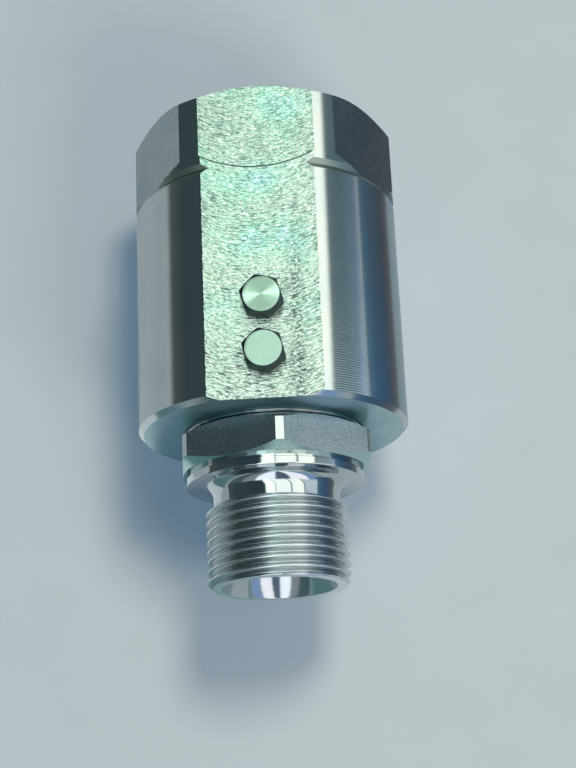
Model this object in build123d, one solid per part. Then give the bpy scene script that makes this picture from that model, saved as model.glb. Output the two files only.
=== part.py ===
"""Ball-bearing hydraulic swivel fitting with a 3/4 in male stud and a 3/4 in female port.

All sizes are millimetres. Every piece is drawn about the swivel axis, local Z, with zero
at the housing's open end: the stem's stud points to -Z, the housing's hexagon to +Z and
the front flat faces -Y. `placed` then lays the fitting on its rear flat, with the swivel
axis along +Y, the front flat facing +Z and the middle of its footprint at the origin.
"""

from build123d import *
from math import cos, pi, radians, sin, tan
import os

# Threads: parallel pipe thread, 3/4 in, 14 turns to the inch.
thread_major = 26.44
thread_minor = 24.12
thread_mouth_chamfer = 0.25

# Bearing: two full rows of 1/8 in balls, half in the shaft and half in the housing.
shaft_diameter = 30.0
shaft_gap = 0.03
ball_diameter = 3.175
ball_play = 0.02
race_clearance = 0.04
lower_race = 8.35
race_spacing = 10.15

# Housing.
barrel_diameter = 50.8
flat_height = 23.15
hex_across_flats = 46.0
hex_length = 16.75
hex_cutter_diameter = 43.4
barrel_edge_chamfer = 0.9
neck_groove_width = 2.0
neck_groove_depth = 0.6
neck_groove_offset = 0.25
end_chamfer_depth = 2.6
end_chamfer_angle = 35.0
web_thickness = 3.5
port_thread_length = 16.0
port_relief_length = 3.0
port_relief_depth = 0.3

# Seal seats, each bored outwards from the shaft's diameter.
wiper_lip_height = 1.6
wiper_lip_clearance = 1.3
wiper_seat_depth = 3.4
wiper_seat_width = 2.7
wiper_lip_reach = 0.45
mouth_chamfer = 0.7
race_to_seal = 3.8
grease_seat_depth = 2.0
grease_seat_width = 3.0
guide_seat_depth = 1.55
guide_seat_width = 4.0
pressure_seat_depth = 3.75
pressure_seat_width = 3.2
pressure_ring_depth = 1.7
seat_land = 1.3
end_land = 3.9
seal_clearance = 0.02
seal_side_clearance = 0.1
seal_corner = 0.2

# Ball plugs: M4 screws with turned hexagon heads.
plug_thread = 4.0
plug_thread_clearance = 0.02
plug_head_height = 2.8
plug_across_flats = 7.0
plug_face_diameter = 6.65
plug_head_chamfer_angle = 30.0
plug_tip_clearance = 0.05
plug_tip_length = 0.9
plug_countersink = 0.3
ball_hole_clearance = 0.06
upper_plug_turn = 46.0
lower_plug_turn = 43.0

# Stem. Its hexagon is measured outwards from the shaft.
bore_diameter = 16.0
end_gap = 0.5
shaft_lead_length = 1.8
shaft_lead_angle = 18.0
bore_edge_chamfer = 0.5
stem_hex_gap = 0.65
stem_hex_height = 7.2
stem_flat_rise = 2.25
stem_corner_rise = 4.5
stem_top_face_rise = 1.7
stem_foot_rise = 2.2
stem_hex_turn = 36.0
hex_chamfer_angle = 30.0
collar_groove_width = 0.85
collar_groove_depth = 0.65
collar_diameter = 33.3
collar_height = 1.45
collar_edge_round = 0.15
collar_face_step = 1.85
neck_relief = 1.27
neck_fillet = 2.5
neck_length = 4.1
thread_start_angle = 27.0
stud_length = 15.05
stud_end_chamfer = 0.68
stud_end_chamfer_length = 0.9
cone_mouth_diameter = 21.06
cone_angle = 60.0

# Holes and shanks are drawn downwards from the face that they start on.
HOLE_ALIGN = (Align.CENTER, Align.CENTER, Align.MAX)

# Worked out from the sizes above.
shaft_radius = shaft_diameter / 2
housing_bore = shaft_radius + shaft_gap
ball_radius = ball_diameter / 2
pitch_radius = shaft_radius + shaft_gap / 2
race_radius = ball_radius + race_clearance
upper_race = lower_race + race_spacing
grease_seat = upper_race + race_to_seal
guide_seat = grease_seat + grease_seat_width + seat_land
pressure_seat = guide_seat + guide_seat_width + seat_land
cavity_end = pressure_seat + pressure_seat_width + end_land
port_bottom = cavity_end + web_thickness
port_relief_top = port_bottom + port_relief_length
housing_length = port_relief_top + port_thread_length
hex_start = housing_length - hex_length
shaft_end = cavity_end - end_gap
bore_radius = bore_diameter / 2
stem_hex_top = -stem_hex_gap
stem_hex_foot = stem_hex_top - stem_hex_height
collar_top = stem_hex_foot - collar_groove_width
collar_face = collar_top - collar_height
neck_end = collar_face - neck_length
stem_end = neck_end - stud_length
cone_depth = (cone_mouth_diameter - bore_diameter) / 2 / tan(radians(cone_angle / 2))
overall_length = housing_length - stem_end


def turned(*stations):
    """Solid of revolution about the swivel axis through (radius, position) stations."""
    return revolve(Plane.XZ * make_face(Polyline(*stations, close=True)), Axis.Z)


def tube(inner, outer, start, length):
    """Plain ring between two radii, from `start` along the axis."""
    return Pos(0, 0, start) * extrude(Circle(outer) - Circle(inner), amount=length)


def placed(piece):
    """Lay a piece on the rear flat, swivel axis along +Y, footprint centred."""
    centre = (housing_length + stem_end) / 2
    return Pos(0, -centre, flat_height) * Rot(-90, 0, 0) * piece


def race(position):
    """Ring that the balls of one row run in, cut from shaft and housing alike."""
    return Pos(0, 0, position) * Torus(pitch_radius, race_radius)


def housing_blank():
    """Turned outside: barrel, vee groove, hexagon blank and its chamfered end."""
    radius = barrel_diameter / 2
    groove = hex_start + neck_groove_offset
    half_groove = neck_groove_width / 2
    end_radius = radius - end_chamfer_depth
    chamfer_length = end_chamfer_depth * tan(radians(end_chamfer_angle))
    return turned(
        (0, 0),
        (radius - barrel_edge_chamfer, 0),
        (radius, barrel_edge_chamfer),
        (radius, groove - half_groove),
        (radius - neck_groove_depth, groove),
        (radius, groove + half_groove),
        (radius, housing_length - chamfer_length),
        (end_radius, housing_length),
        (0, housing_length),
    )


def hex_cutters():
    """Six passes of a face cutter, each ending in the round run-out of its rim."""
    radius = hex_cutter_diameter / 2
    centre = hex_start + radius
    path = Pos(0, centre) * Circle(radius)
    path += Pos(0, centre + housing_length / 2) * Rectangle(2 * radius, housing_length)
    plane = Plane.XZ.offset(hex_across_flats / 2)
    cutter = extrude(plane * path, amount=barrel_diameter)
    return [Rot(0, 0, 60 * k) * cutter for k in range(6)]


def long_flats():
    """Stock milled off the front and the rear, parallel to the swivel axis."""
    reach = barrel_diameter
    slab = Box(2 * reach, reach, 3 * housing_length)
    offset = flat_height + reach / 2
    return [Pos(0, side * offset, 0) * slab for side in (-1, 1)]


def swivel_cavity():
    """Blind bore for the shaft with its wiper, seal and guide seats."""
    lip = shaft_radius + wiper_lip_clearance
    seat = shaft_radius + wiper_seat_depth
    mouth = lip + mouth_chamfer
    wiper_end = wiper_lip_height + wiper_seat_width
    bore = turned(
        (0, 0),
        (mouth, 0),
        (lip, mouth_chamfer),
        (lip, wiper_lip_height),
        (seat, wiper_lip_height),
        (seat, wiper_end),
        (housing_bore, wiper_end),
        (housing_bore, cavity_end),
        (0, cavity_end),
    )
    seats = [
        tube(shaft_radius, shaft_radius + depth, start, width)
        for depth, start, width in (
            (grease_seat_depth, grease_seat, grease_seat_width),
            (guide_seat_depth, guide_seat, guide_seat_width),
            (pressure_seat_depth, pressure_seat, pressure_seat_width),
        )
    ]
    return [bore, *seats, race(lower_race), race(upper_race)]


def port_bore():
    """Female port at thread minor size, with thread relief and the flow bore."""
    radius = thread_minor / 2
    relief = thread_major / 2 + port_relief_depth
    mouth = thread_major / 2 + thread_mouth_chamfer
    return turned(
        (0, cavity_end - end_gap),
        (bore_radius, cavity_end - end_gap),
        (bore_radius, port_bottom),
        (relief, port_bottom),
        (relief, port_relief_top),
        (radius, port_relief_top),
        (radius, housing_length - (mouth - radius)),
        (mouth, housing_length),
        (0, housing_length),
    )


def plug_hole(position):
    """Tapped ball filling hole from the front flat down into the race."""
    thread = plug_thread / 2 + plug_thread_clearance
    passage = ball_radius + ball_hole_clearance
    seat = pitch_radius + race_radius + plug_tip_clearance + plug_tip_length
    hole = Cylinder(passage, flat_height - pitch_radius, align=HOLE_ALIGN)
    hole += Cylinder(thread, flat_height - seat, align=HOLE_ALIGN)
    hole += Cone(thread, thread + plug_countersink, plug_countersink, align=HOLE_ALIGN)
    return Pos(0, -flat_height, position) * Rot(90, 0, 0) * hole


def make_housing():
    """Barrel and hexagon in one piece, holding the bearing, the seals and the port."""
    body = housing_blank()
    for cut in (*hex_cutters(), *long_flats(), *swivel_cavity(), port_bore()):
        body -= cut
    for position in (lower_race, upper_race):
        body -= plug_hole(position)
    return body


def stem_hexagon():
    """Spanner flats of the stem, their corners turned and chamfered at both ends."""
    corner = shaft_radius + stem_corner_rise
    top = shaft_radius + stem_top_face_rise
    foot = shaft_radius + stem_foot_rise
    slope = tan(radians(hex_chamfer_angle))
    blank = turned(
        (0, stem_hex_foot),
        (foot, stem_hex_foot),
        (corner, stem_hex_foot + (corner - foot) * slope),
        (corner, stem_hex_top - (corner - top) * slope),
        (top, stem_hex_top),
        (0, stem_hex_top),
    )
    outline = RegularPolygon(shaft_radius + stem_flat_rise, 6, major_radius=False)
    prism = extrude(outline, amount=stem_hex_height)
    return blank & Pos(0, 0, stem_hex_foot) * Rot(0, 0, stem_hex_turn) * prism


def stem_shaft():
    """Bearing shaft, with a slim lead at its end for fitting the seals."""
    lead = shaft_radius - shaft_lead_length * tan(radians(shaft_lead_angle))
    shaft = turned(
        (0, stem_hex_foot),
        (shaft_radius, stem_hex_foot),
        (shaft_radius, shaft_end - shaft_lead_length),
        (lead, shaft_end),
        (0, shaft_end),
    )
    return shaft - race(lower_race) - race(upper_race)


def stem_stud():
    """Collar, relieved neck and threaded stud, drawn as one turned profile."""
    collar = collar_diameter / 2
    groove = collar - collar_groove_depth
    thread = thread_major / 2
    neck = thread - neck_relief
    face = neck + collar_face_step
    fillet_drop = (neck_fillet**2 - (neck_fillet - collar_face_step) ** 2) ** 0.5
    runout = neck_relief * tan(radians(thread_start_angle))
    with BuildSketch(Plane.XZ) as profile:
        with BuildLine():
            Polyline(
                (0, stem_hex_foot + collar_groove_width),
                (groove, stem_hex_foot + collar_groove_width),
                (groove, collar_top),
                (collar, collar_top),
                (collar, collar_face + collar_edge_round),
                (collar - collar_edge_round, collar_face),
                (face, collar_face),
            )
            RadiusArc(
                (face, collar_face),
                (neck, collar_face - fillet_drop),
                -neck_fillet,
            )
            Polyline(
                (neck, collar_face - fillet_drop),
                (neck, neck_end),
                (thread, neck_end - runout),
                (thread, stem_end + stud_end_chamfer_length),
                (thread - stud_end_chamfer, stem_end),
                (0, stem_end),
                (0, stem_hex_foot + collar_groove_width),
            )
        make_face()
    return revolve(profile.sketch, Axis.Z)


def stem_bore():
    """Flow bore right through the stem, opening in the 60 degree sealing cone."""
    mouth = cone_mouth_diameter / 2
    return turned(
        (0, stem_end),
        (mouth, stem_end),
        (bore_radius, stem_end + cone_depth),
        (bore_radius, shaft_end - bore_edge_chamfer),
        (bore_radius + bore_edge_chamfer, shaft_end),
        (0, shaft_end),
    )


def make_stem():
    """Rotating stem: stud, collar, hexagon and bearing shaft in one piece."""
    return stem_stud() + stem_hexagon() + stem_shaft() - stem_bore()


def make_ball_row(position):
    """Full row of balls, as many as the pitch circle holds."""
    count = int(pi / (0.5 * (ball_diameter + ball_play) / pitch_radius))
    ball = Sphere(ball_radius)
    spots = PolarLocations(pitch_radius, count)
    return Compound(children=[Pos(0, 0, position) * spot * ball for spot in spots])


def make_plug(position, turn):
    """Screw that closes one filling hole, its tip just clear of the balls."""
    across = plug_across_flats / 2
    face = plug_face_diameter / 2
    corner = across / cos(radians(30))
    chamfer = (corner - face) * tan(radians(plug_head_chamfer_angle))
    tip = pitch_radius + race_radius + plug_tip_clearance
    shank_end = flat_height - tip - plug_tip_length
    head = turned(
        (0, 0),
        (corner, 0),
        (corner, plug_head_height - chamfer),
        (face, plug_head_height),
        (0, plug_head_height),
    )
    outline = RegularPolygon(across, 6, major_radius=False, rotation=turn)
    head &= extrude(outline, amount=plug_head_height)
    shank = Cylinder(plug_thread / 2, shank_end, align=HOLE_ALIGN)
    pilot = Cylinder(ball_radius, flat_height - tip, align=HOLE_ALIGN)
    return Pos(0, -flat_height, position) * Rot(90, 0, 0) * (head + shank + pilot)


def make_wiper():
    """Snap-in dust wiper: a heel in the seat and a lip that stands proud of the mouth."""
    inner = shaft_radius + seal_clearance
    outer = shaft_radius + wiper_seat_depth - seal_clearance
    lip = shaft_radius + wiper_lip_clearance - 2 * seal_side_clearance
    shoulder = lip + mouth_chamfer
    heel_start = wiper_lip_height + seal_side_clearance
    heel_end = wiper_lip_height + wiper_seat_width - seal_side_clearance
    relief = wiper_lip_clearance / 2
    with BuildSketch(Plane.XZ) as profile:
        with BuildLine():
            Polyline(
                (lip - relief / 2, -wiper_lip_reach),
                (inner, 0),
                (inner, heel_start),
                (inner + relief, heel_end),
                (outer, heel_end),
                (outer, heel_start),
                (lip, heel_start),
                (lip, mouth_chamfer),
                (shoulder, 0),
            )
            CenterArc((lip, 0), mouth_chamfer, 0, -40)
            Line(
                (lip + mouth_chamfer * cos(radians(40)), -mouth_chamfer * sin(radians(40))),
                (lip - relief / 2, -wiper_lip_reach),
            )
        make_face()
    return revolve(profile.sketch, Axis.Z)


def seated_ring(inner, outer, start, width):
    """Flat ring with broken corners, sitting in a seat of the given width."""
    length = width - 2 * seal_side_clearance
    ring = tube(inner, outer, start + seal_side_clearance, length)
    return chamfer(ring.edges().filter_by(GeomType.CIRCLE), seal_corner)


def squeezed_ring(inner, outer, start, width):
    """Rubber ring pressed to a rounded bar between two walls."""
    height = outer - inner
    length = min(width - 2 * seal_side_clearance, 1.3 * height)
    section = RectangleRounded(height, length, 0.49 * height)
    middle = ((inner + outer) / 2, start + width / 2)
    return revolve(Plane.XZ * Pos(*middle) * section, Axis.Z)


def make_pieces():
    """Every separate piece of the fitting, by name, in the local frame."""
    running = shaft_radius + seal_clearance
    grease_wall = shaft_radius + grease_seat_depth - seal_clearance
    guide_wall = shaft_radius + guide_seat_depth - seal_clearance
    pressure_wall = shaft_radius + pressure_seat_depth - seal_clearance
    ring_wall = shaft_radius + pressure_ring_depth
    return {
        "housing": make_housing(),
        "stem": make_stem(),
        "upper_ball_row": make_ball_row(upper_race),
        "lower_ball_row": make_ball_row(lower_race),
        "upper_ball_plug": make_plug(upper_race, upper_plug_turn),
        "lower_ball_plug": make_plug(lower_race, lower_plug_turn),
        "dust_wiper": make_wiper(),
        "grease_seal": squeezed_ring(running, grease_wall, grease_seat, grease_seat_width),
        "guide_ring": seated_ring(running, guide_wall, guide_seat, guide_seat_width),
        "pressure_seal_ring": seated_ring(
            running, ring_wall, pressure_seat, pressure_seat_width
        ),
        "pressure_seal_energiser": squeezed_ring(
            ring_wall + seal_clearance, pressure_wall, pressure_seat, pressure_seat_width
        ),
    }


def main():
    """Build, place and write every piece."""
    os.makedirs("parts", exist_ok=True)
    for name, piece in make_pieces().items():
        export_step(placed(piece), f"parts/{name}.step")
    print("overall length", round(overall_length, 2), "housing", round(housing_length, 2))


main()
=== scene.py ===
"""Dresses the ball-bearing hydraulic swivel fitting and sets it on a pale table."""

import logging
from dataclasses import dataclass, fields
from enum import Enum
from math import atan2, cos, degrees, pi, radians, sin, sqrt, tan

import bmesh
import bpy
from mathutils import Matrix, Vector

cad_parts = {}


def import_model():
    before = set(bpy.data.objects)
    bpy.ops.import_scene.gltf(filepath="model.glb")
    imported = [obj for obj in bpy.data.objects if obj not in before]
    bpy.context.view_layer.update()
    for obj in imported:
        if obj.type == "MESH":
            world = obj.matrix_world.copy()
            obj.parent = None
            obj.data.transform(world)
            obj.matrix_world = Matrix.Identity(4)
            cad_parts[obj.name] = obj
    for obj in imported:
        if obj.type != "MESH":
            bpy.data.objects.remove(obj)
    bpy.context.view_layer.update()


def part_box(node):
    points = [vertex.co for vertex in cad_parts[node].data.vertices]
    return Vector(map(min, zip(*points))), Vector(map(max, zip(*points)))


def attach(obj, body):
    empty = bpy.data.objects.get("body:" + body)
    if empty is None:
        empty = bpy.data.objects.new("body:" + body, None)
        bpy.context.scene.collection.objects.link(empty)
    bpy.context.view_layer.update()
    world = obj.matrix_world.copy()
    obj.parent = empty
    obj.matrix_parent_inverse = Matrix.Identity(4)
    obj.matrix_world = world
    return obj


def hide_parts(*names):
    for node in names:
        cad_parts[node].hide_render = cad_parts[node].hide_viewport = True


LOG = logging.getLogger("swivel_fitting")
MM = 0.001
OUTSIDE = 34.0  # millimetres from the axis, clear of everything that is cut

Station = tuple[float, float]
Place = tuple[float, float, float]
Colour = tuple[float, float, float, float]
Stop = tuple[float, str, float]
Socket = bpy.types.NodeSocket
Material = bpy.types.Material
Object = bpy.types.Object


def linear(code: str) -> Colour:
    """Turn an sRGB hex colour into linear light.

    Args:
        code: Six hex digits, such as "b4bec2".

    Returns:
        Linear red, green, blue and an alpha of 1.
    """
    parts = [int(code[i : i + 2], 16) / 255 for i in (0, 2, 4)]
    red, green, blue = (
        c / 12.92 if c <= 0.04045 else ((c + 0.055) / 1.055) ** 2.4 for c in parts
    )
    return (red, green, blue, 1.0)


def add_node(
    tree: bpy.types.NodeTree,
    kind: str,
    inputs: dict[int | str, object] | None = None,
    **settings: object,
) -> bpy.types.Node:
    """Add one node with its settings, values and links.

    Args:
        tree: The node tree that it goes into.
        kind: Blender's name of the node type, without the leading "ShaderNode".
        inputs: A value or an output socket for each named or numbered input.
        **settings: Properties of the node itself.

    Returns:
        The new node.
    """
    made = tree.nodes.new(f"ShaderNode{kind}")
    for name, value in settings.items():
        setattr(made, name, value)
    for key, value in (inputs or {}).items():
        if isinstance(value, Socket):
            tree.links.new(value, made.inputs[key])
        else:
            made.inputs[key].default_value = value
    return made


def set_ramp(ramp: bpy.types.Node, stops: list[tuple[float, Colour]]) -> None:
    """Give a colour ramp its stops.

    Args:
        ramp: A ValToRGB node.
        stops: Position and colour of each stop, in rising order.
    """
    elements = ramp.color_ramp.elements
    while len(elements) > 1:
        elements.remove(elements[-1])
    elements[0].position, elements[0].color = stops[0]
    for position, colour in stops[1:]:
        elements.new(position).color = colour


@dataclass(frozen=True)
class SwivelAxis:
    """The swivel axis: it runs along +Y, `height` above the table.

    Lengths along it count from the housing's open end, towards the hexagon.
    """

    height: float
    open_end: float

    def centre(self) -> Vector:
        """Middle of the housing's open end."""
        return Vector((0, self.open_end, self.height))

    def point(self, radius: float, along: float, angle: float) -> Vector:
        """Place a point from millimetres about the axis.

        Args:
            radius: Distance from the axis.
            along: Distance from the housing's open end.
            angle: Angle from straight up, towards +X, in radians.

        Returns:
            The point in metres, in the model's frame.
        """
        reach = radius * MM
        level = self.height + reach * cos(angle)
        return Vector((reach * sin(angle), self.open_end + along * MM, level))


class Tools:
    """Mesh helpers that the sub-assemblies share."""

    @staticmethod
    def body(name: str, built: bmesh.types.BMesh, *finishes: Material) -> Object:
        """Turn a surface into an object, with its faces pointing outwards.

        Args:
            name: Name of the object.
            built: The surface, which this uses up.
            *finishes: Materials of the object, one to a slot.

        Returns:
            The new object, in the scene.
        """
        bmesh.ops.recalc_face_normals(built, faces=built.faces)
        mesh = bpy.data.meshes.new(name)
        built.to_mesh(mesh)
        built.free()
        for finish in finishes:
            mesh.materials.append(finish)
        return Tools.show(bpy.data.objects.new(name, mesh))

    @staticmethod
    def show(made: Object) -> Object:
        """Link an object into the scene."""
        bpy.context.scene.collection.objects.link(made)
        return made

    @staticmethod
    def cut(body: Object, other: Object, how: str = "DIFFERENCE") -> None:
        """Apply an exact boolean and remove the tool body.

        Args:
            body: The object that is changed.
            other: The object that cuts or joins it.
            how: DIFFERENCE or UNION.
        """
        step = body.modifiers.new("cut", "BOOLEAN")
        step.operation, step.object = how, other
        step.solver, step.material_mode = "EXACT", "TRANSFER"
        graph = bpy.context.evaluated_depsgraph_get()
        made = bpy.data.meshes.new_from_object(body.evaluated_get(graph))
        body.modifiers.clear()
        body.data = made
        bpy.data.objects.remove(other, do_unlink=True)

    @staticmethod
    def smooth(mesh: bpy.types.Mesh, angle: float) -> None:
        """Shade a mesh smooth except across edges sharper than an angle in degrees."""
        mesh.shade_smooth()
        mesh.set_sharp_from_angle(angle=radians(angle))

    @staticmethod
    def ring_surface(
        rings: list[list[Vector]], closed: bool, slots: list[int] | None = None
    ) -> bmesh.types.BMesh:
        """Join equal rings of points by quads.

        Args:
            rings: Rings of points, all with the same count.
            closed: Whether the last ring joins the first.
            slots: Material slot of the band after each ring.

        Returns:
            The new surface.
        """
        built = bmesh.new()
        rows = [[built.verts.new(p) for p in ring] for ring in rings]
        count = len(rows[0])
        for i in range(len(rows) if closed else len(rows) - 1):
            lower, upper = rows[i], rows[(i + 1) % len(rows)]
            for j in range(count):
                k = (j + 1) % count
                face = built.faces.new((lower[j], lower[k], upper[k], upper[j]))
                face.smooth = True
                face.material_index = slots[i] if slots else 0
        return built

    @staticmethod
    def block(name: str, ends: list[list[Vector]], finish: Material) -> Object:
        """Make a solid between two equal outlines.

        Args:
            name: Name of the object.
            ends: Corners of the two outlines, in metres.
            finish: Material of every face.

        Returns:
            The solid.
        """
        built = bmesh.new()
        low, high = [[built.verts.new(p) for p in end] for end in ends]
        for j in range(len(low)):
            k = (j + 1) % len(low)
            built.faces.new((low[j], low[k], high[k], high[j]))
        built.faces.new(low)
        built.faces.new(high)
        return Tools.body(name, built, finish)


@dataclass
class Lathe:
    """Turns profiles about the swivel axis, and sets the mills' cutters square to it."""

    axis: SwivelAxis
    segments: int = 288

    def angles(self) -> list[float]:
        """Angle of each corner of a ring."""
        step = 2 * pi / self.segments
        return [step * j for j in range(self.segments)]

    def ring(self, radius: float, along: float) -> list[Vector]:
        """Ring of points about the axis."""
        return [self.axis.point(radius, along, a) for a in self.angles()]

    def turn(
        self,
        name: str,
        profile: list[Station],
        finishes: list[Material],
        slots: list[int],
    ) -> Object:
        """Make a ring-shaped body from its section.

        Args:
            name: Name of the object.
            profile: Radius and place of each corner of the section, in millimetres.
            finishes: Materials of the object.
            slots: Number of the material on the band after each corner.

        Returns:
            The turned object.
        """
        rings = [self.ring(r, y) for r, y in profile]
        return Tools.body(name, Tools.ring_surface(rings, True, slots), *finishes)

    def cutter(
        self, outline: list[Station], near: float, turn: float, finish: Material
    ) -> Object:
        """Make the stock that is cut off above a flat beside the axis.

        Args:
            outline: Across and along of each corner, in millimetres.
            near: Height of the flat above the axis.
            turn: Turn of the flat's normal from straight up, in degrees.
            finish: Material of the flat.

        Returns:
            The tool body.
        """
        spin = Matrix.Rotation(radians(turn), 4, "Y")
        centre = self.axis.centre()
        ends = [
            [spin @ (Vector((x, y, z)) * MM) + centre for x, y in outline] for z in (near, OUTSIDE)
        ]
        return Tools.block("cutter", ends, finish)


class TurnedAbout(Enum):
    """The line that a surface was turned about."""

    SWIVEL_AXIS = "Y"
    OWN_HEIGHT = "Z"


class Pattern:
    """A node tree with the sums, noises and blends that patterns are made of."""

    def __init__(self, tree: bpy.types.NodeTree) -> None:
        """Empty the tree and keep it."""
        self.tree = tree
        self.tree.nodes.clear()

    def math(self, operation: str, *values: Socket | float) -> Socket:
        """Work out one number from up to three."""
        return add_node(self.tree, "Math", dict(enumerate(values)), operation=operation).outputs[0]

    def vector(self, *parts: Socket | float) -> Socket:
        """Join three numbers into a vector."""
        return add_node(self.tree, "CombineXYZ", dict(enumerate(parts))).outputs[0]

    def stretched(self, *parts: tuple[Socket, float]) -> Socket:
        """Join up to three numbers, each times its own factor, into a vector."""
        return self.vector(*(self.math("MULTIPLY", *part) for part in parts))

    def noise(
        self,
        where: Socket,
        size: float = 1.0,
        detail: float = 3.0,
        rough: float = 0.55,
        warp: float = 0.0,
    ) -> Socket:
        """Soft random pattern.

        Args:
            where: Coordinates in millimetres.
            size: Size of one patch in millimetres.
            detail: How many finer layers lie on it.
            rough: How strong the finer layers are.
            warp: How far the pattern is pulled about.

        Returns:
            The pattern, about 0 to 1.
        """
        inputs = {"Vector": where, "Scale": 1 / size, "Detail": detail}
        inputs |= {"Roughness": rough, "Distortion": warp}
        return add_node(self.tree, "TexNoise", inputs).outputs["Fac"]

    def spread(
        self,
        source: Socket,
        low: float,
        high: float,
        to_low: float = 0.0,
        to_high: float = 1.0,
        kind: str = "SMOOTHSTEP",
    ) -> Socket:
        """Stretch a range of a pattern over another range.

        Args:
            source: The pattern.
            low: Its value that becomes `to_low`.
            high: Its value that becomes `to_high`.
            to_low: Start of the new range.
            to_high: End of the new range.
            kind: SMOOTHSTEP for soft ends or LINEAR for plain ones.

        Returns:
            The stretched pattern.
        """
        inputs = {"Value": source, "From Min": low, "From Max": high}
        inputs |= {"To Min": to_low, "To Max": to_high}
        return add_node(self.tree, "MapRange", inputs, interpolation_type=kind).outputs[0]

    def blend(
        self,
        share: Socket | float,
        first: Socket | Colour,
        second: Socket | Colour,
    ) -> Socket:
        """Mix two colours; the share is how much of the second there is."""
        inputs = {0: share, 6: first, 7: second}
        return add_node(self.tree, "Mix", inputs, data_type="RGBA").outputs[2]

    def ramp(self, share: Socket, stops: list[tuple[float, Colour]]) -> Socket:
        """Colour a share of 0 to 1 by the stops of a ramp."""
        made = add_node(self.tree, "ValToRGB", {0: share})
        set_ramp(made, stops)
        return made.outputs[0]

    def mixed(self, share: Socket, *shaders: bpy.types.Node) -> bpy.types.Node:
        """Mix two shaders; the share is how much of the second there is."""
        first, second = (shader.outputs[0] for shader in shaders)
        return add_node(self.tree, "MixShader", {0: share, 1: first, 2: second})


class Surface(Pattern):
    """A new material with its metal, plastic or rubber shader."""

    def __init__(self, name: str) -> None:
        """Make an empty material with one shader.

        Args:
            name: Name of the material.
        """
        self.material = bpy.data.materials.new(name)
        self.material.use_nodes = True
        super().__init__(self.material.node_tree)
        self.shader = add_node(self.tree, "BsdfPrincipled")
        self.end = add_node(self.tree, "OutputMaterial", {"Surface": self.shader.outputs[0]})

    @staticmethod
    def glowing(name: str, colour: Colour, strength: float) -> Material:
        """Make the material of a card that shines in one colour."""
        surface = Surface(name)
        surface.shine(colour, strength)
        return surface.material

    def shine(self, colour: Socket | Colour, strength: float) -> None:
        """Replace the shader by light of a colour."""
        self.tree.nodes.remove(self.shader)
        glow = add_node(self.tree, "Emission", {"Color": colour, "Strength": strength})
        self.tree.links.new(glow.outputs[0], self.end.inputs["Surface"])

    def link(self, source: Socket, name: str) -> None:
        """Feed one of the shader's inputs."""
        self.tree.links.new(source, self.shader.inputs[name])

    def value(self, name: str, amount: float | Colour) -> None:
        """Set one of the shader's inputs."""
        self.shader.inputs[name].default_value = amount

    def place(self, centre: Vector = Vector((0, 0, 0))) -> bpy.types.Node:
        """Coordinates of the piece itself, in millimetres from a centre, split in three."""
        where = add_node(self.tree, "TexCoord").outputs["Object"]
        inputs = {0: where, 1: tuple(centre)}
        moved = add_node(self.tree, "VectorMath", inputs, operation="SUBTRACT")
        inputs = {0: moved.outputs[0], "Scale": 1 / MM}
        scaled = add_node(self.tree, "VectorMath", inputs, operation="SCALE")
        return add_node(self.tree, "SeparateXYZ", {0: scaled.outputs[0]})

    def raise_by(
        self,
        height: Socket,
        depth_mm: float,
        below: Socket | None = None,
    ) -> Socket:
        """Dent the surface by a pattern.

        Args:
            height: The pattern, 0 to 1.
            depth_mm: Depth between its lowest and highest value.
            below: The normal of the coarser pattern that it lies on.

        Returns:
            The new normal.
        """
        inputs = {"Height": height, "Strength": 1.0, "Distance": depth_mm * MM}
        if below is not None:
            inputs["Normal"] = below
        return add_node(self.tree, "Bump", inputs).outputs[0]

    def roughen(self, grain: Socket, roughness: float, low: float, high: float) -> None:
        """Let the roughness vary with a grain, between two shares of its value."""
        varied = self.spread(grain, 0.3, 0.7, roughness * low, roughness * high)
        self.link(varied, "Roughness")


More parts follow.
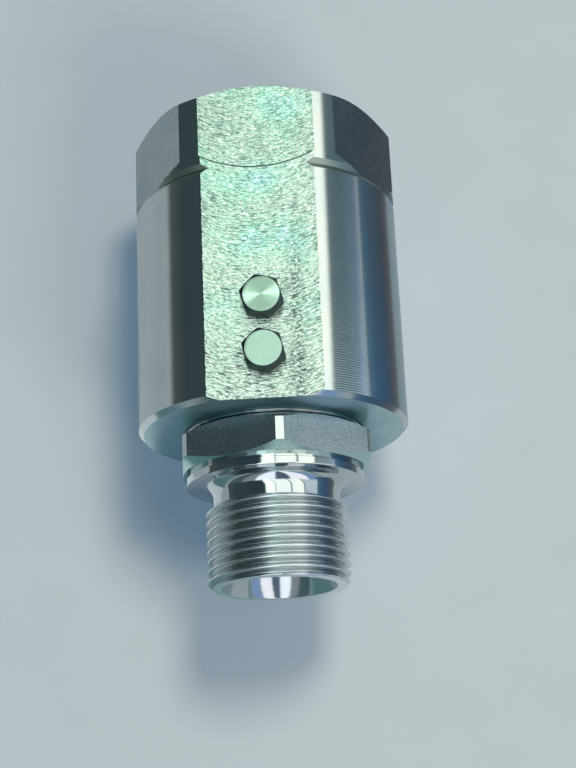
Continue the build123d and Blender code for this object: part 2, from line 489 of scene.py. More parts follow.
@dataclass(frozen=True)
class TurnedZinc:
    """Free-cutting steel, turned on a lathe and then bright zinc plated.

    The tool leaves fine rings about the turning axis, so a light spreads into a streak
    across them, and the thin passivated plate adds faint blue and straw tints.
    """

    name: str
    axis: SwivelAxis
    feed_mm: float = 0.46  # a real feed is finer; one too fine to show is drawn coarser
    feed_depth_mm: float = 0.006
    scratch_depth_mm: float = 0.004
    roughness: float = 0.105
    colour: str = "c1c6c7"
    tint: str = "b2bec4"
    tint_share: float = 0.5
    groove_root: float = 0.0
    groove_crest: float = 0.0
    groove_colour: str = "a3acad"
    # fan sets the anisotropy of a faced surface and also paints a bow-tie of shade across it, in
    # fan_colour
    fan: float = 0.0
    fan_colour: str = "80998b"
    about: TurnedAbout = TurnedAbout.SWIVEL_AXIS

    def build(self) -> Material:
        """Make the material."""
        s = Surface(self.name)
        if self.about is TurnedAbout.SWIVEL_AXIS:
            across, along, up = s.place(self.axis.centre()).outputs
        else:
            across, up, along = s.place().outputs
        radius = s.math("SQRT", s.math("MULTIPLY_ADD", across, across, s.math("MULTIPLY", up, up)))
        angle = s.math("ARCTAN2", across, up)
        rings = s.math("ADD", radius, along)
        wander = s.noise(s.vector(across, along, up), 9.0, 2.0)
        phase = s.math("MULTIPLY_ADD", rings, 2 * pi / self.feed_mm, angle)
        feed = s.math("SINE", s.math("MULTIPLY_ADD", wander, 3.0, phase))
        feed = s.math("MULTIPLY_ADD", feed, 0.5, 0.5)
        fine = s.stretched((rings, 11.0), (angle, 2.0), (radius, 3.0))
        scratch = s.noise(fine, 1.0, 4.0, 0.65)
        normal = s.raise_by(feed, self.feed_depth_mm)
        s.link(s.raise_by(scratch, self.scratch_depth_mm, normal), "Normal")
        patches = s.spread(wander, 0.38, 0.68, 0.0, self.tint_share)
        base = s.blend(patches, linear(self.colour), linear(self.tint))
        # Painted shade: below the crest radius the thread's valleys are darkened towards the valley
        # colour
        if self.groove_crest > 0:
            low = s.spread(radius, self.groove_root, self.groove_crest, 1.0, 0.0)
            base = s.blend(low, base, linear(self.groove_colour))
        # Painted shade: the sectors above and below the centre are darkened, leaving a painted
        # highlight across the middle in a bow-tie
        if self.fan > 0:
            fan_shade_sector = s.math("ABSOLUTE", s.math("COSINE", s.math("ADD", angle, 0.2)))
            base = s.blend(s.spread(fan_shade_sector, 0.1, 0.6, 0.0, self.fan), base, linear(self.fan_colour))
        s.link(base, "Base Color")
        rough = s.spread(scratch, 0.25, 0.75, self.roughness * 0.8, self.roughness * 1.25)
        s.link(rough, "Roughness")
        s.value("Metallic", 1.0)
        s.value("Anisotropic", self.fan)
        round_about = add_node(s.tree, "Tangent", direction_type="RADIAL", axis=self.about.value)
        s.link(round_about.outputs[0], "Tangent")
        return s.material


@dataclass(frozen=True)
class MilledZinc:
    """Steel flat cut by a worn face cutter in one pass, then bright zinc plated.

    Each turn of the cutter leaves a shallow arc and drags torn flecks along it. The flat
    glitters pale mint where it meets the light and shows dark flecks where it is torn.
    """

    name: str
    axis: SwivelAxis
    cutter_radius_mm: float = 21.7
    feed_mm: float = 0.42
    feed_depth_mm: float = 0.008
    fleck_depth_mm: float = 0.02
    fleck_share: float = 0.93
    pitted_line: float = 6.0
    pitted_width: float = 2.4
    pitted_end: float = 31.0
    roughness: float = 0.32
    step_start: float = 66.45
    colour: str = "bad1c6"
    # worn is the paler, greyer colour that the flat takes towards the open end and its right-hand
    # side
    worn: str = "bac9c0"
    dark: str = "3e4c47"
    gleam: str = "eaeee9"
    tints: tuple[tuple[float, float, str], ...] = (
        (0.46, 0.62, "a9d8c5"),
        (0.58, 0.72, "a5d4d6"),
        (0.38, 0.27, "c6dcbd"),
    )

    def build(self) -> Material:
        """Make the material."""
        s = Surface(self.name)
        across, along, up = s.place(self.axis.centre()).outputs
        inside = s.math("SUBTRACT", self.cutter_radius_mm**2, s.math("MULTIPLY", across, across))
        arc = s.math("ADD", along, s.math("SQRT", s.math("MAXIMUM", inside, 1.0)))
        place = s.vector(across, along, up)
        wander = s.noise(place, 7.0, 2.0)
        phase = s.math("MULTIPLY", arc, 2 * pi / self.feed_mm)
        feed = s.math("SINE", s.math("MULTIPLY_ADD", wander, 9.0, phase))
        feed = s.math("MULTIPLY_ADD", feed, 0.5, 0.5)
        fleck = s.noise(s.stretched((across, 0.55), (arc, 4.0), (up, 0.3)), 1.0, 3.0, 0.6, 0.25)
        grit = s.noise(s.stretched((across, 1.9), (arc, 5.8), (up, 0.5)), 1.0, 2.0, 0.5, 0.15)
        normal = s.raise_by(feed, self.feed_depth_mm)
        normal = s.raise_by(fleck, self.fleck_depth_mm, normal)
        s.link(s.raise_by(grit, self.fleck_depth_mm * 0.5, normal), "Normal")
        torn = s.spread(fleck, 0.39, 0.5, 1.0, 0.0)
        torn = s.math("MULTIPLY", torn, s.spread(wander, 0.32, 0.6, 0.4, 1.0))
        torn = s.math("MULTIPLY", torn, s.spread(along, 5.0, 45.0, 1.15, 0.85))
        nick = s.spread(grit, 0.35, 0.5, 0.85, 0.0)
        torn = s.math("MULTIPLY", s.math("MAXIMUM", torn, nick), self.fleck_share)
        torn = s.math("MAXIMUM", torn, self.pitting(s, across, along, wander))
        # Painted shade: a thin dark line along the arc where the hexagon flat steps from the long
        # flat
        step = s.math("ABSOLUTE", s.math("SUBTRACT", arc, self.step_start))
        torn = s.math("MAXIMUM", torn, s.spread(step, 0.1, 0.26, 1.0, 0.0))
        hue = s.noise(place, 13.0, 1.5)
        pale = linear(self.colour)
        for start, full, code in self.tints:
            pale = s.blend(s.spread(hue, start, full), pale, linear(code))
        # Paler and greyer towards the open end and towards the right-hand side of the flat
        ahead = s.spread(along, 34.0, 2.0, 0.0, 0.8)
        muted_share = s.math("MAXIMUM", ahead, s.spread(across, 5.0, 11.0, 0.0, 0.45))
        pale = s.blend(muted_share, pale, linear(self.worn))
        pale = s.blend(s.spread(grit, 0.52, 0.66), pale, linear(self.gleam))
        s.link(s.blend(torn, pale, linear(self.dark)), "Base Color")
        s.roughen(grit, self.roughness, 0.8, 1.3)
        s.value("Metallic", 1.0)
        return s.material

    def pitting(
        self,
        s: Surface,
        across: Socket,
        along: Socket,
        wander: Socket,
    ) -> Socket:
        """Wavering line of dark pits along the flat.

        Args:
            s: The surface that it is for.
            across: Place across the flat in millimetres.
            along: Place along it.
            wander: Slow noise that bends the line.

        Returns:
            How dark each place is, 0 to 1.
        """
        line = s.math("SUBTRACT", across, self.pitted_line + 1.5)
        line = s.math("ABSOLUTE", s.math("MULTIPLY_ADD", wander, 3.0, line))
        beside = s.spread(line, self.pitted_width, 0.2)
        inside = s.spread(along, self.pitted_end + 5, self.pitted_end - 6)
        pits = s.noise(s.stretched((across, 1.5), (along, 2.1)), 1.0, 3.0, 0.7)
        shown = s.math("MULTIPLY", s.math("MULTIPLY", beside, inside), s.spread(pits, 0.47, 0.57))
        return s.math("MULTIPLY", shown, 0.95)


@dataclass(frozen=True)
class GrainyZinc:
    """Cold-drawn steel flat, left as drawn and zinc plated: a fine even orange-peel grain."""

    name: str
    grain_mm: float = 0.24
    grain_depth_mm: float = 0.009
    roughness: float = 0.26
    colour: str = "a2aaab"
    tint: str = "8fa0a5"
    light: str = "d9dede"
    contrast: float = 0.8
    scratches: float = 0.0

    def build(self) -> Material:
        """Make the material."""
        s = Surface(self.name)
        at = s.place().outputs
        place = s.vector(*at)
        grain = s.noise(place, self.grain_mm, 2.0, 0.5)
        s.link(s.raise_by(grain, self.grain_depth_mm), "Normal")
        cloud = s.noise(place, 6.0, 2.0)
        tinted = s.blend(s.spread(cloud, 0.35, 0.7), linear(self.colour), linear(self.tint))
        speck = s.spread(grain, 0.35, 0.65, 0.0, self.contrast)
        shown = s.blend(speck, tinted, linear(self.light))
        if self.scratches > 0:
            slant = s.math("MULTIPLY_ADD", at[1], 1.3, s.math("MULTIPLY", at[2], 2.4))
            along = s.vector(slant, s.math("MULTIPLY", at[1], 0.16), 0.0)
            lines = s.spread(s.noise(along, 1.0, 3.0, 0.6, 0.4), 0.58, 0.72, 0.0, self.scratches)
            shown = s.blend(lines, shown, linear("ffffff"))
        s.link(shown, "Base Color")
        s.roughen(grain, self.roughness, 0.85, 1.15)
        s.value("Metallic", 1.0)
        return s.material


@dataclass(frozen=True)
class PlainStuff:
    """A moulded, turned or ground material of one colour, with a fine grain of its own."""

    name: str
    colour: str
    roughness: float
    metallic: float = 0.0
    grain_mm: float = 0.3
    grain_depth_mm: float = 0.004
    gloss: float = 0.0

    def build(self) -> Material:
        """Make the material."""
        s = Surface(self.name)
        grain = s.noise(s.vector(*s.place().outputs), self.grain_mm, 3.0)
        s.link(s.raise_by(grain, self.grain_depth_mm), "Normal")
        base = linear(self.colour)
        darker = tuple(0.8 * c for c in base[:3]) + (1.0,)
        s.link(s.blend(s.spread(grain, 0.3, 0.7), darker, base), "Base Color")
        s.roughen(grain, self.roughness, 0.9, 1.1)
        s.value("Metallic", self.metallic)
        s.value("Coat Weight", self.gloss)
        s.value("Coat Roughness", 0.06)
        s.value("Coat IOR", 2.0 if self.gloss > 0 else 1.5)
        return s.material


@dataclass(frozen=True)
class TableTop:
    """Pale grey laminate with a faint mottle, which fades into the pale backdrop."""

    name: str = "pale_laminate_table"
    colour: str = "bac3c6"
    far_colour: str = "bac3c5"
    fade: tuple[float, float] = (130.0, 420.0)

    def build(self) -> Material:
        """Make the material."""
        s = Surface(self.name)
        place = s.vector(*s.place().outputs)
        base = linear(self.colour)
        darker = tuple(0.93 * c for c in base[:3]) + (1.0,)
        s.link(s.blend(s.noise(place, 14.0, 4.0, 0.5), darker, base), "Base Color")
        s.link(s.raise_by(s.noise(place, 0.8, 2.0), 0.006), "Normal")
        s.value("Roughness", 0.7)
        s.value("Specular IOR Level", 0.0)
        away = add_node(s.tree, "VectorMath", {0: place}, operation="LENGTH").outputs["Value"]
        path = add_node(s.tree, "LightPath")
        seen = s.math("MAXIMUM", path.outputs["Is Camera Ray"], path.outputs["Is Glossy Ray"])
        share = s.math("MULTIPLY", s.spread(away, *self.fade), seen)
        plain = add_node(s.tree, "Emission", {"Color": linear(self.far_colour), "Strength": 1.0})
        both = s.mixed(share, s.shader, plain)
        s.tree.links.new(both.outputs[0], s.end.inputs["Surface"])
        return s.material


@dataclass(frozen=True)
class PipeThread:
    """Parallel pipe thread with rounded crests and roots, 14 turns to the inch."""

    crest_radius: float = 13.22
    pitch: float = 1.8143
    depth: float = 1.162
    rounding: float = 0.249
    flank_angle: float = 27.5

    def drop(self, along: float, angle: float, start: float) -> float:
        """Depth of the right-handed groove below its crest.

        Args:
            along: Place along the swivel axis in millimetres.
            angle: Angle about the axis, in radians.
            start: Place of a crest at angle zero.

        Returns:
            The depth in millimetres.
        """
        turns = (along - start) / self.pitch - angle / (2 * pi)
        away = abs(turns - round(turns)) * self.pitch
        tangent = self.rounding * cos(radians(self.flank_angle))
        cap = self.rounding * (1 - sin(radians(self.flank_angle)))
        if away < tangent:
            return self.rounding - sqrt(self.rounding**2 - away**2)
        rest = self.pitch / 2 - away
        if rest < tangent:
            return self.depth - self.rounding + sqrt(self.rounding**2 - rest**2)
        return cap + (away - tangent) / tan(radians(self.flank_angle))


class Finishes:
    """The finishes of one piece: the materials of its slots, in order."""

    def listed(self) -> list[Material]:
        """Materials in the order of their slots."""
        return [getattr(self, slot.name) for slot in fields(self)]

    def slots(self, *names: str) -> list[int]:
        """Numbers of the slots that hold the named finishes."""
        order = [slot.name for slot in fields(self)]
        return [order.index(name) for name in names]


@dataclass
class HousingFinish(Finishes):
    """The finishes of the housing, one to a material slot."""

    turned: Material
    faced: Material
    seats: Material
    long_flat: Material
    front_hex: Material
    plain_hex: Material
    scratched_hex: Material
    rear_flat: Material
    groove: Material
    port: Material


@dataclass
class Housing:
    """Barrel with two long flats, and a hexagon with the female port in its end."""

    axis: SwivelAxis
    finish: HousingFinish
    thread: PipeThread
    barrel_radius: float = 25.4
    edge_chamfer: float = 0.9
    length: float = 61.5
    hex_start: float = 44.75
    hex_radius: float = 23.0
    cutter_radius: float = 21.7
    flat_height: float = 23.15
    groove_depth: float = 0.6
    groove_offset: float = 0.25
    groove_half_width: float = 1.0
    end_radius: float = 22.8
    end_chamfer_length: float = 1.82
    mouth: tuple[Station, ...] = ((16.3, 0.7), (17.0, 0.0))
    cavity_end: float = 39.0
    bore_radius: float = 15.03
    flow_radius: float = 8.0
    seats: tuple[tuple[float, float, float], ...] = (
        (31.9, 35.1, 18.75),
        (26.6, 30.6, 16.55),
        (22.3, 25.3, 17.0),
    )
    wiper_seat: tuple[float, float, float] = (1.6, 4.3, 18.4)
    races: tuple[float, float] = (18.5, 8.35)
    race_pitch_radius: float = 15.015
    race_radius: float = 1.6275
    port_bottom: float = 42.5
    relief_top: float = 45.5
    relief_radius: float = 13.52
    port_mouth_radius: float = 13.47
    port_edge: float = 14.1
    web_edge: float = 9.0
    plug_places: tuple[float, float] = (8.35, 18.5)
    plug_hole_radius: float = 2.02
    plug_hole_floor: float = 16.0
    port_step: float = 0.07
    relief_edge: float = 0.3
    slab_half: float = 14.0
    slab_past: float = 6.0
    sharp_angle: float = 19.0
    mill_step: float = 0.3
    mill_wave: float = 0.05

    def outside(self) -> list[Station]:
        """Section of the outside, from the mouth to the port."""
        apex = self.hex_start + self.groove_offset
        return [
            self.mouth[1],
            (self.barrel_radius - self.edge_chamfer, 0.0),
            (self.barrel_radius, self.edge_chamfer),
            (self.barrel_radius, apex - self.groove_half_width),
            (self.barrel_radius - self.groove_depth, apex),
            (self.barrel_radius, apex + self.groove_half_width),
            (self.barrel_radius, self.length - self.end_chamfer_length),
            (self.end_radius, self.length),
            (self.port_edge, self.length),
        ]

    def port_side(self) -> list[Station]:
        """Plain section of the port, which the threaded surface later replaces."""
        return [
            (12.5, self.length - 1.0),
            (12.5, self.port_bottom),
            (self.web_edge, self.port_bottom),
        ]

    def race_groove(self, place: float) -> list[Station]:
        """Section of one ball race in the bore, from the far side to the near side."""
        offset = self.bore_radius - self.race_pitch_radius
        lead = degrees(atan2(offset, sqrt(self.race_radius**2 - offset**2)))
        pitch, radius = self.race_pitch_radius, self.race_radius
        steps = 12
        turns = [radians(lead + (180 - 2 * lead) * i / steps) for i in range(steps + 1)]
        return [(pitch + radius * sin(a), place + radius * cos(a)) for a in turns]

    def cavity(self) -> list[Station]:
        """Section of the flow bore, bearing bore, seal seats and ball races."""
        bore = self.bore_radius
        section = [
            (self.flow_radius, self.port_bottom),
            (self.flow_radius, self.cavity_end),
            (bore, self.cavity_end),
        ]
        for near, far, radius in self.seats:
            section += [(bore, far), (radius, far), (radius, near), (bore, near)]
        for place in self.races:
            section += self.race_groove(place)
        near, far, radius = self.wiper_seat
        section += [(bore, far), (radius, far), (radius, near)]
        return section + [(self.mouth[0][0], near), self.mouth[0]]

    def cutter_outline(self) -> list[Station]:
        """Area that one pass of the face cutter clears, with its round run-out."""
        reach = self.cutter_radius
        centre = self.hex_start + reach
        steps = 72
        turns = [pi * i / steps for i in range(steps + 1)]
        arc = [(-reach * cos(a), centre - reach * sin(a)) for a in turns]
        far = self.length + 10.0
        return arc + [(reach, far), (-reach, far)]

    def mill_height(self, across: float, along: float) -> float:
        """Waviness that the worn cutter leaves on a long flat, in millimetres."""
        arc = along + sqrt(max(self.cutter_radius**2 - across**2, 1.0))
        slow = sin(arc * 1.9 + 1.7 * sin(across * 0.21))
        quick = sin(arc * 6.1 + 2.3 * sin(across * 0.37 + arc * 0.11))
        torn = max(0.0, sin(arc * 11.3 + across * 2.7) * sin(arc * 3.7 - across * 1.9)) ** 2
        return self.mill_wave * (0.35 * slow + 0.4 * quick - 0.9 * torn)

    def milled_slab(self, finish: Material) -> Object:
        """Stock that is cut off for the long flat; its underside carries the waviness."""
        half, start, end = self.slab_half, -self.slab_past, self.length + self.slab_past
        across = round(2 * half / self.mill_step)
        along = round((end - start) / self.mill_step)
        centre = self.axis.centre()
        built = bmesh.new()

        def corner(i: int, j: int) -> bmesh.types.BMVert:
            """Vertex of the slab at one place of its grid."""
            x = -half + 2 * half * i / across
            y = start + (end - start) * j / along
            z = self.flat_height + self.mill_height(x, y)
            return built.verts.new(Vector((x, y, z)) * MM + centre)

        low = [[corner(i, j) for j in range(along + 1)] for i in range(across + 1)]
        for near, far in zip(low, low[1:]):
            for j in range(along):
                built.faces.new((near[j], near[j + 1], far[j + 1], far[j])).smooth = True
        rim = [row[0] for row in low] + low[-1][1:]
        rim += [row[-1] for row in low[-2::-1]] + low[0][-2:0:-1]
        lift = Vector((0, 0, (OUTSIDE - self.flat_height) * MM))
        tops = [built.verts.new(v.co + lift) for v in rim]
        for k, vert in enumerate(rim):
            n = (k + 1) % len(rim)
            built.faces.new((vert, rim[n], tops[n], tops[k]))
        built.faces.new(tops)
        return Tools.body("slab", built, finish)

    def port_surface(self) -> bmesh.types.BMesh:
        """Threaded port from its edge on the end face down to the web."""
        lathe = Lathe(self.axis)
        depth = self.length - self.relief_top
        count = int(depth / self.port_step)
        rings = [lathe.ring(self.port_edge, self.length)]
        for i in range(count + 1):
            y = self.length - i * depth / count
            entry = self.port_mouth_radius - (self.length - y)
            ring = []
            for a in lathe.angles():
                r = self.thread.crest_radius - self.thread.drop(y, a, self.relief_top)
                ring.append(self.axis.point(max(r, entry), y, a))
            rings.append(ring)
        edge = self.relief_edge
        for r, y in (
            (self.relief_radius, self.relief_top),
            (self.relief_radius, self.port_bottom + edge),
            (self.relief_radius - edge, self.port_bottom),
            (self.web_edge, self.port_bottom),
        ):
            rings.append(lathe.ring(r, y))
        return Tools.ring_surface(rings, False)

    def thread_port(self, body: Object, slot: int) -> None:
        """Swap the plain port of a body for the threaded one.

        Args:
            body: The housing, with its plain port in a material slot of its own.
            slot: Number of that slot.
        """
        built = bmesh.new()
        built.from_mesh(body.data)
        plain = [f for f in built.faces if f.material_index == slot]
        bmesh.ops.delete(built, geom=plain, context="FACES")
        port = self.port_surface()
        for face in port.faces:
            face.material_index = slot
        spare = bpy.data.meshes.new("port")
        port.to_mesh(spare)
        port.free()
        built.from_mesh(spare)
        bpy.data.meshes.remove(spare)
        bmesh.ops.remove_doubles(built, verts=built.verts, dist=1e-7)
        bmesh.ops.recalc_face_normals(built, faces=built.faces)
        built.to_mesh(body.data)
        built.free()

    def build(self) -> Object:
        """Turn, mill, drill and thread the housing.

        Returns:
            The finished housing.
        """
        lathe = Lathe(self.axis)
        out, port, cavity = self.outside(), self.port_side(), self.cavity()
        names = ["faced", "turned", "turned", "groove", "groove", "turned", "turned", "faced"]
        names += ["port"] * len(port) + ["seats"] * (len(cavity) + 1)
        slots = self.finish.slots(*names)
        body = lathe.turn("housing_body", out + port + cavity, self.finish.listed(), slots)
        front, scratched, plain = (
            self.finish.front_hex,
            self.finish.scratched_hex,
            self.finish.plain_hex,
        )
        for k, finish in enumerate((front, scratched, plain, plain, plain, plain)):
            Tools.cut(body, lathe.cutter(self.cutter_outline(), self.hex_radius, 60.0 * k, finish))
        Tools.cut(body, self.milled_slab(self.finish.long_flat))
        half, near, far = self.slab_half, -self.slab_past, self.length + self.slab_past
        under = [(-half, near), (half, near), (half, far), (-half, far)]
        Tools.cut(body, lathe.cutter(under, self.flat_height, 180.0, self.finish.rear_flat))
        hole, floor, sides = self.plug_hole_radius, self.plug_hole_floor, 48
        for place in self.plug_places:
            turns = [2 * pi * i / sides for i in range(sides)]
            ring = [(hole * sin(a), place + hole * cos(a)) for a in turns]
            Tools.cut(body, lathe.cutter(ring, floor, 0.0, self.finish.seats))
        self.thread_port(body, *self.finish.slots("port"))
        Tools.smooth(body.data, self.sharp_angle)
        return body


@dataclass
class StemFinish(Finishes):
    """The finishes of the stem, one to a material slot."""

    polished: Material
    thread: Material
    cone: Material
    hexagon: Material
    crown: Material
    end: Material


@dataclass
class Stem:
    """Rotating stem: bearing shaft, spanner hexagon, collar, neck and threaded stud."""

    axis: SwivelAxis
    finish: StemFinish
    thread: PipeThread
    shaft_radius: float = 15.0
    shaft_end: float = 38.5
    lead_radius: float = 14.415
    lead_length: float = 1.8
    races: tuple[float, float] = (18.5, 8.35)
    race_pitch_radius: float = 15.015
    race_radius: float = 1.6275
    bore_radius: float = 8.0
    bore_chamfer: float = 0.5
    hex_top: float = -0.65
    hex_foot: float = -7.85
    hex_flat_radius: float = 17.25
    hex_corner_radius: float = 19.5
    hex_top_radius: float = 16.7
    hex_foot_radius: float = 17.2
    hex_chamfer_angle: float = 30.0
    hex_turn: float = 36.0
    collar_top: float = -8.70
    groove_radius: float = 16.0
    collar_radius: float = 16.65
    collar_face: float = -10.15
    collar_round: float = 0.15
    face_radius: float = 13.8
    neck_radius: float = 11.95
    fillet: float = 2.5
    neck_end: float = -14.25
    runout: float = 0.647
    stud_end: float = -29.3
    end_chamfer: float = 0.68
    end_chamfer_length: float = 0.9
    cone_radius: float = 10.53
    cone_depth: float = 4.382
    crest_place: float = -22.34
    thread_step: float = 0.06
    hex_overlap: float = 3.0
    arc_steps: int = 10
    sharp_angle: float = 25.0

    def shaft_side(self) -> list[Station]:
        """Section of the shaft, from its bore edge towards the hexagon."""
        section = [
            (self.bore_radius, self.shaft_end - self.bore_chamfer),
            (self.bore_radius + self.bore_chamfer, self.shaft_end),
            (self.lead_radius, self.shaft_end),
            (self.shaft_radius, self.shaft_end - self.lead_length),
        ]
        pitch, radius = self.race_pitch_radius, self.race_radius
        lead = atan2(pitch - self.shaft_radius, radius)
        turns = [lead + (pi - 2 * lead) * i / self.arc_steps for i in range(self.arc_steps + 1)]
        for place in self.races:
            section += [(pitch - radius * sin(a), place + radius * cos(a)) for a in turns]
        return section + [(self.shaft_radius, self.hex_foot + self.hex_overlap)]

    def collar_side(self) -> list[Station]:
        """Section of the groove, collar and neck down to the start of the thread.

        Two rings close together below the collar's side keep its reflections straight.
        """
        collar, soft = self.collar_radius, self.collar_round
        face, neck, fillet = self.collar_face, self.neck_radius, self.fillet
        section = [
            (self.groove_radius, self.hex_foot + self.hex_overlap),
            (self.groove_radius, self.collar_top),
            (collar - 0.08, self.collar_top),
            (collar, self.collar_top - 0.08),
            (collar, face + soft + 0.12),
            (collar, face + soft),
            (collar - soft * 0.3, face + soft * 0.3),
            (collar - soft, face),
        ]
        over = fillet - (self.face_radius - neck)
        full = atan2(sqrt(fillet**2 - over**2), over)
        turns = [full * (1 - i / self.arc_steps) for i in range(self.arc_steps + 1)]
        drop = face - fillet * sin(full)
        return section + [(neck + fillet * (1 - cos(a)), drop + fillet * sin(a)) for a in turns]

    def envelope(self, along: float) -> float:
        """Outside radius of the stud before its thread is cut."""
        down = self.neck_end - along
        tip = along - self.stud_end
        radius = self.thread.crest_radius
        if down < self.runout:
            radius = self.neck_radius + (radius - self.neck_radius) * down / self.runout
        if tip < self.end_chamfer_length:
            slope = self.end_chamfer / self.end_chamfer_length
            radius = min(radius, self.thread.crest_radius - self.end_chamfer + tip * slope)
        return radius

    def bore_side(self) -> list[Station]:
        """Section of the end face, sealing cone and bore, back to the shaft."""
        return [
            (self.cone_radius + 0.12, self.stud_end),
            (self.cone_radius - 0.05, self.stud_end + 0.12),
            (self.bore_radius, self.stud_end + self.cone_depth),
        ]

    def turned_body(self) -> Object:
        """Shaft, collar, neck and stud, with the real helical thread."""
        lathe = Lathe(self.axis)
        plain = self.shaft_side() + self.collar_side()
        rings = [lathe.ring(r, y) for r, y in plain]
        count = round((self.neck_end - self.stud_end) / self.thread_step)
        for i in range(count + 1):
            y = self.neck_end + (self.stud_end - self.neck_end) * i / count
            limit = self.envelope(y)
            ring = []
            for a in lathe.angles():
                cut = self.thread.crest_radius - self.thread.drop(y, a, self.crest_place)
                ring.append(self.axis.point(min(limit, cut), y, a))
            rings.append(ring)
        inside = self.bore_side()
        rings += [lathe.ring(r, y) for r, y in inside]
        names = ["polished"] * len(plain) + ["thread"] * count + ["end"] + ["cone"] * len(inside)
        built = Tools.ring_surface(rings, True, self.finish.slots(*names))
        return Tools.body("stem_body", built, *self.finish.listed())

    def hexagon(self) -> Object:
        """Spanner flats with turned and chamfered corners, hollow where the shaft runs."""
        slope = tan(radians(self.hex_chamfer_angle))
        corner, top, foot = self.hex_corner_radius, self.hex_top_radius, self.hex_foot_radius
        inner = self.shaft_radius - 0.6
        profile = [
            (inner, self.hex_foot),
            (foot, self.hex_foot),
            (corner, self.hex_foot + (corner - foot) * slope),
            (corner, self.hex_top - (corner - top) * slope),
            (top, self.hex_top),
            (inner, self.hex_top),
        ]
        lathe = Lathe(self.axis)
        finishes = [self.finish.crown, self.finish.polished]
        blank = lathe.turn("hexagon", profile, finishes, [0, 0, 1, 0, 0, 0])
        wide, near, far = 40.0, -10.0, 2.0
        square = [(-wide, near), (wide, near), (wide, far), (-wide, far)]
        for k in range(6):
            turn = self.hex_turn + 60 * k
            tool = lathe.cutter(square, self.hex_flat_radius, turn, self.finish.hexagon)
            Tools.cut(blank, tool)
        return blank

    def build(self) -> Object:
        """Join the turned body and the hexagon into one stem.

        Returns:
            The finished stem.
        """
        body = self.turned_body()
        Tools.cut(body, self.hexagon(), "UNION")
        Tools.smooth(body.data, self.sharp_angle)
        return body


@dataclass
class BallPlug:
    """Screw that closes a ball filling hole: a turned hexagon head on the front flat."""

    axis: SwivelAxis
    face_finish: Material
    side_finish: Material
    name: str
    place: float
    turn: float
    flat_height: float = 23.15
    head_height: float = 2.8
    flat_radius: float = 3.5
    face_radius: float = 3.325
    chamfer_angle: float = 30.0
    edge_round: float = 0.08
    shank_radius: float = 2.0
    shank_length: float = 3.0
    segments: int = 144
    face_rings: tuple[float, ...] = (2.8, 2.2, 1.6, 1.0, 0.5, 0.15)
    sharp_angle: float = 19.0

    def ring(self, radius: float, height: float) -> list[Vector]:
        """Points round the screw's own axis, which stands up from the flat."""
        turns = [2 * pi / self.segments * j for j in range(self.segments)]
        return [Vector((radius * sin(a), radius * cos(a), height)) * MM for a in turns]

    def build(self) -> Object:
        """Turn the head and mill its six sides.

        Returns:
            The finished plug.
        """
        slope = tan(radians(self.chamfer_angle))
        corner = self.flat_radius / cos(radians(30))
        low = (corner - self.face_radius) * slope
        soft, top, face = self.edge_round, self.head_height, self.face_radius
        stations = [
            (self.shank_radius, -self.shank_length),
            (self.shank_radius, 0.02),
            (corner + 0.2, 0.02),
            (corner + 0.2, top - low - 0.2 * slope),
            (face + soft, top - soft * slope),
            (face - soft * 0.3, top - 0.01),
            (face - soft, top),
        ]
        stations += [(r, top) for r in self.face_rings]
        built = Tools.ring_surface([self.ring(r, z) for r, z in stations], False)
        built.faces.new(list(built.verts)[-self.segments :])
        built.faces.new(list(built.verts)[: self.segments])
        body = Tools.body(self.name, built, self.face_finish, self.side_finish)
        # Everything below the face, chamfer included, takes the dark side finish: painted shade
        for polygon in body.data.polygons:
            if polygon.center.z < (top - 0.02) * MM:
                polygon.material_index = 1
        square = ((-6, -0.5), (6, -0.5), (6, 5), (-6, 5))
        for k in range(6):
            spin = Matrix.Rotation(radians(self.turn + 30 + 60 * k), 4, "Z")
            ends = [
                [spin @ Vector((x, y, z)) * MM for y, z in square]
                for x in (self.flat_radius, self.flat_radius + 3)
            ]
            Tools.cut(body, Tools.block("side", ends, self.side_finish))
        Tools.smooth(body.data, self.sharp_angle)
        body.location = self.axis.point(self.flat_height, self.place, 0.0)
        return body


